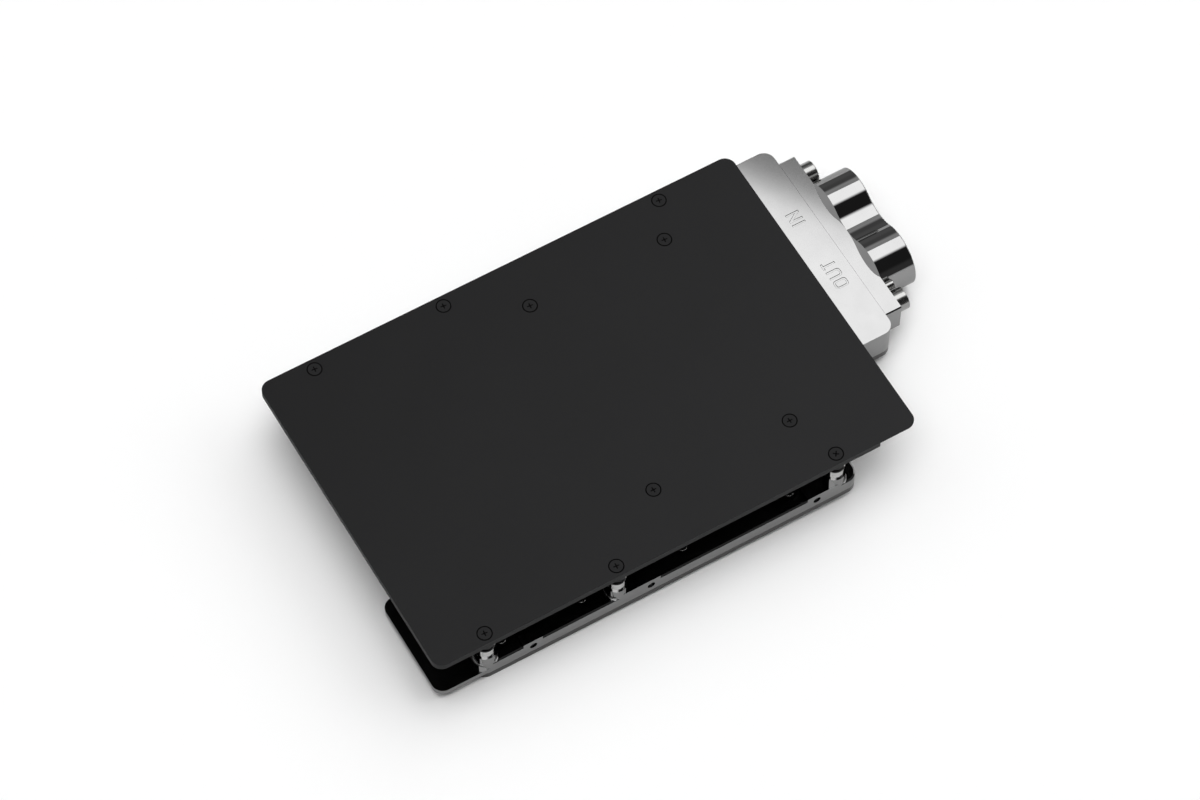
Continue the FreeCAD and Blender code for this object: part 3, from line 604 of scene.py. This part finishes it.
t_left, t_under = (t_wide - stroke) / 2, top - stroke
letters = {
    "I": [block(0, 0, i_wide, top)],
    "N": [bend([(0, 0), (stroke, 0), (stroke, slant_low), (n_wide - stroke, 0), (n_wide, 0), (n_wide, top),
                (n_wide - stroke, top), (n_wide - stroke, slant_high), (stroke, top), (0, top)], [0] * 10)],
    "O": [block(0, 0, o_wide, top, outer_bend),
          block(stroke, stroke, o_wide - stroke, top - stroke, inner_bend)[::-1]],
    "U": [bend([(0, 0), (u_wide, 0), (u_wide, top), (u_wide - stroke, top), (u_wide - stroke, stroke),
                (stroke, stroke), (stroke, top), (0, top)],
               [outer_bend, outer_bend, 0, 0, inner_bend, inner_bend, 0, 0])],
    "T": [bend([(t_left, 0), (t_left + stroke, 0), (t_left + stroke, t_under), (t_wide, t_under),
                (t_wide, top), (0, top), (0, t_under), (t_left, t_under)], [0] * 8)],
}
print("outline points", {name: sum(len(path) for path in paths) for name, paths in letters.items()})

# %% A section carried along an outline
def wall_along(path, section, lean):
    """Carries a section (inward offset, height, share of the lean) along a closed path in the plane.

    At each corner the inward step is m = (n1 + n2) / (1 + n1.n2), from the inward normals n1, n2 of the two
    sides that meet there, and it is kept short where a corner is sharp. The lean shifts the foot of the wall
    by the same small step all round, as a cutter does that stands a little aslant.
    """
    side = np.roll(path, -1, 0) - path
    side /= np.linalg.norm(side, axis=1)[:, None]
    normal = np.stack([-side[:, 1], side[:, 0]], axis=-1)
    before = np.roll(normal, 1, 0)
    opening = np.maximum(1 + (normal * before).sum(1), 0.6)[:, None]
    mitre = (normal + before) / opening
    flat = path[:, None] + mitre[:, None] * section[None, :, :1] + section[None, :, 2:] * np.array(lean)
    height = np.broadcast_to(section[None, :, 1:2], (*flat.shape[:2], 1))
    return np.concatenate([flat, height], axis=-1)


def gather(parts):
    """One list of points and one of faces from several, each part (points, faces)."""
    points, faces, count = [], [], 0
    for part_points, part_faces in parts:
        flat = part_points.reshape(-1, 3)
        points.append(flat)
        faces += [[i + count for i in face] for face in outward(flat, part_faces)]
        count += len(flat)
    return np.concatenate(points), faces


def piece_in_mm(name, parts, material, smooth=True):
    """A new piece from parts in millimetres, which rides on the block."""
    points, faces = gather(parts)
    piece = new_piece(name, points / 1000, faces, material, smooth)
    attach(piece, "root")
    return piece


print("a wall round a square has", wall_along(block(0, 0, 1, 1), np.eye(3), (0, 0)).size // 3, "points")

# %% Lettering on the port end
port_face, letter_baseline = 1.2, 67.45
letter_starts = [("I", 25.0), ("N", 26.6), ("O", -0.95), ("U", 2.95), ("T", 6.85)]
section = np.array([(-0.01, -0.01, 0), (0.0, 0.04, 0), (0.11, -0.005, 1)])
cutter_lean = (-0.09, 0.05)
walls = []
for letter, start in letter_starts:
    for path in letters[letter]:
        local = wall_along(path, section, cutter_lean)
        # A letter's height runs towards the plate and its width to the rear.
        placed = np.stack([letter_baseline - local[..., 1], start + local[..., 0],
                           port_face + local[..., 2]], axis=-1)
        faces = grid_faces(*placed.shape[:2], loop_rows=True, loop_columns=True).tolist()
        walls.append((placed, faces))
# The walls are painted near black: the shade inside the engraved pocket.
groove_shadow_finish = soft_black("painted_groove_shadow", "#0C0C0C", "#141414", roughness=(0.6, 0.8), grain_mm=0.3,
                         shine=0.1)
lettering = piece_in_mm("port_lettering", walls, groove_shadow_finish, smooth=False)
print("lettering faces", len(lettering.data.polygons))

# %% [markdown]
# ## Joints and gaps
#
# Two flat parts that meet leave a hairline, because their edges are broken by a few hundredths of a
# millimetre. One runs across the port end, where the manifold is screwed on, and one runs round each screw
# head in the backplate. The cross slot of a screw is a deep narrow cut that no light reaches. A cut in the
# solid would show the same black at many more faces, so all three are drawn as what the eye sees of them:
# thin lines of shadow.

# %% A thin line of shadow
def hairline(path, half_width, closed):
    """A flat six-cornered bar along a path of points: corner k lies at half_width (cos, sin / 10) of 60 k."""
    around = np.radians(np.arange(6) * 60)
    ahead = np.roll(path, -1, 0) - path if closed else np.gradient(path, axis=0)
    ahead /= np.linalg.norm(ahead, axis=1)[:, None]
    beside = np.stack([-ahead[:, 1], ahead[:, 0], np.zeros(len(path))], axis=-1)
    step_out = half_width * np.cos(around)[None, :, None] * beside[:, None]
    step_up = half_width * 0.1 * np.sin(around)[None, :, None] * np.array([0, 0, 1.0])
    points = path[:, None] + step_out + step_up
    faces = grid_faces(len(path), 6, loop_rows=closed, loop_columns=True).tolist()
    if not closed:
        last = (len(path) - 1) * 6
        faces += [list(range(6))[::-1], [last + i for i in range(6)]]
    return points, faces


# Near black and almost without shine, this finish is painted shadow.
painted_joint_shadow = soft_black("painted_gap_shadow", "#040404", "#080808", roughness=(0.7, 0.9), grain_mm=0.5,
                          shine=0.02)
print("finish", painted_joint_shadow.name)

# %% Painted shadow in the joint between port end and manifold
seam_x, seam_front, seam_rear, seam_half = 71.1, -15.6, 46.75, 0.03
seam_y = np.linspace(seam_front, seam_rear, 64)
seam = np.stack([np.full_like(seam_y, seam_x), seam_y, np.full_like(seam_y, port_face)], axis=-1)
seam_shadow_piece = piece_in_mm("manifold_joint_shadow", [hairline(seam, seam_half, False)], painted_joint_shadow)
print("seam faces", len(seam_shadow_piece.data.polygons))

# %% Painted shadow in the cross slots of the clamping screws
cross_turns = [-6, -6, -36, -6, -7, -9, 1, 2, -7, -4]
cross_arm, cross_half, cross_height, arm_step = 1.0, 0.22, 9.268, 0.01
crosses = []
for (x, y), cross_turn in zip(screw_places, cross_turns):
    for degrees, raised in ((cross_turn, 0.0), (cross_turn + 90, arm_step)):
        angle = np.radians(degrees)
        arm = np.linspace(-cross_arm, cross_arm, 5)
        bar = np.stack([x + arm * np.cos(angle), y + arm * np.sin(angle),
                        np.full_like(arm, cross_height + raised)], axis=-1)
        crosses.append(hairline(bar, cross_half, False))
cross_shadow_piece = piece_in_mm("screw_cross_slot_shadows", crosses, painted_joint_shadow)
print("cross faces", len(cross_shadow_piece.data.polygons))

# %% Painted shadow in the gaps round the heads of the clamping screws
round_turn = np.linspace(0, 2 * math.pi, 49)[:-1]
head_gap_radius, head_gap_half, head_gap_height = 2.345, 0.07, 9.285
rings = []
for x, y in screw_places:
    ring = np.stack([x + head_gap_radius * np.cos(round_turn), y + head_gap_radius * np.sin(round_turn),
                     np.full_like(round_turn, head_gap_height)], axis=-1)
    rings.append(hairline(ring, head_gap_half, True))
head_ring_shadow_piece = piece_in_mm("screw_head_gap_shadows", rings, painted_joint_shadow)
print("ring faces", len(head_ring_shadow_piece.data.polygons))

# %% [markdown]
# ## Rims of the cover's screw holes
#
# Along the front edge the holes of the cover's screws come up at the body's upper face. Each mouth has a low
# rim, steep on the outside, so that it mirrors the table as a small bright arc in the dark gap. A torus would
# be quicker, but its round section gives a thin arc all along, not a broken one, so a flat-topped section is
# carried round the mouth by the function that makes the letters.

# %% Rims
rim_radius, rim_row, body_face = 1.42, -51.15, -5.0
rim_section = np.array([(0.0, -0.02, 0), (0.05, 0.26, 0), (0.2, 0.26, 0), (0.25, -0.02, 0)])
rim_places = (-83.9, -56.7, -21.9, 15.3)
rims = []
for x in rim_places:
    ring = np.stack([x + rim_radius * np.cos(round_turn), rim_row + rim_radius * np.sin(round_turn)], axis=-1)
    points = wall_along(ring, rim_section, (0.0, 0.0)) + np.array([0, 0, body_face])
    rims.append((points, grid_faces(*points.shape[:2], loop_rows=True, loop_columns=True).tolist()))
hole_rims = piece_in_mm("cover_screw_hole_rims", rims, bright_standoff)
print("rims", len(rims), "faces", len(hole_rims.data.polygons))

# %% [markdown]
# ## Screw threads
#
# The CAD model leaves every threaded surface smooth. Here each thread is a ridge wound along its screw or
# bore: a four-cornered section carried along a helix, which rises and fades over a quarter turn at its ends. A
# bump could draw the ridges too, but not where they catch the light at the mouth of a port. The ports have the
# 1.337 mm pitch of a G1/4 thread, the side holes the 0.5 mm of M3 and the clamping screws the 0.45 mm of M2.5.

# %% A ridge along a helix
def thread(start, axis, root, crest, pitch, length, steps):
    """A ridge along a helix: p(t, k) = start + axis (pitch t / 2 pi + a_k) + r_k (cos t, sin t) across axis.

    a_k and r_k are the corners of the section, from the root radius to the crest and back.
    """
    foot_half, crest_half, quarter_turn, least_ridge = 0.42, 0.08, math.pi / 2, 0.03
    axis = np.array(axis, float)
    first = np.roll(axis, 1)
    second = np.cross(axis, first)
    turns = length / pitch
    t = np.linspace(0, 2 * math.pi * turns, int(turns * steps))
    fade = np.clip(np.minimum(t, t[-1] - t) / quarter_turn, least_ridge, 1.0)
    along_axis = np.array([-foot_half, -crest_half, crest_half, foot_half]) * pitch
    ridge = np.array([0.0, 1.0, 1.0, 0.0]) * (crest - root)
    radius = root + fade[:, None] * ridge[None]
    forward = (pitch * t / (2 * math.pi))[:, None] + along_axis[None]
    spoke = np.cos(t)[:, None] * first + np.sin(t)[:, None] * second
    points = np.array(start) + forward[..., None] * axis + radius[..., None] * spoke[:, None]
    last = (len(t) - 1) * 4
    caps = [[3, 2, 1, 0], [last, last + 1, last + 2, last + 3]]
    return points, grid_faces(len(t), 4, loop_columns=True).tolist() + caps


one_turn = thread((0, 0, 0), (0, 0, 1), root=1.24, crest=1.33, pitch=0.45, length=0.45, steps=24)
print("one turn of an M2.5 thread has", len(one_turn[1]), "faces")

# %% Threads of ports, side holes and clamping screws
port_rows, side_hole_places = (4.25, 27.75), (-76.1, -35.8, 21.9)
port_threads = [thread((79.4, y, -5.4), (1, 0, 0), root=5.92, crest=5.35, pitch=1.337, length=8.4, steps=48)
                for y in port_rows]
side_threads = [thread((x, -55.2, -6.875), (0, 1, 0), root=1.26, crest=1.14, pitch=0.5, length=3.7, steps=24)
                for x in side_hole_places]
screw_threads = [thread((x, y, 3.25), (0, 0, 1), root=1.24, crest=1.33, pitch=0.45, length=1.1, steps=24)
                 for x, y in screw_places]
piece_in_mm("port_threads", port_threads, nickel_on_brass, smooth=False)
piece_in_mm("side_hole_threads", side_threads, nickel_on_copper, smooth=False)
piece_in_mm("clamping_screw_threads", screw_threads, screw_black, smooth=False)
print("threads", len(port_threads), len(side_threads), len(screw_threads))
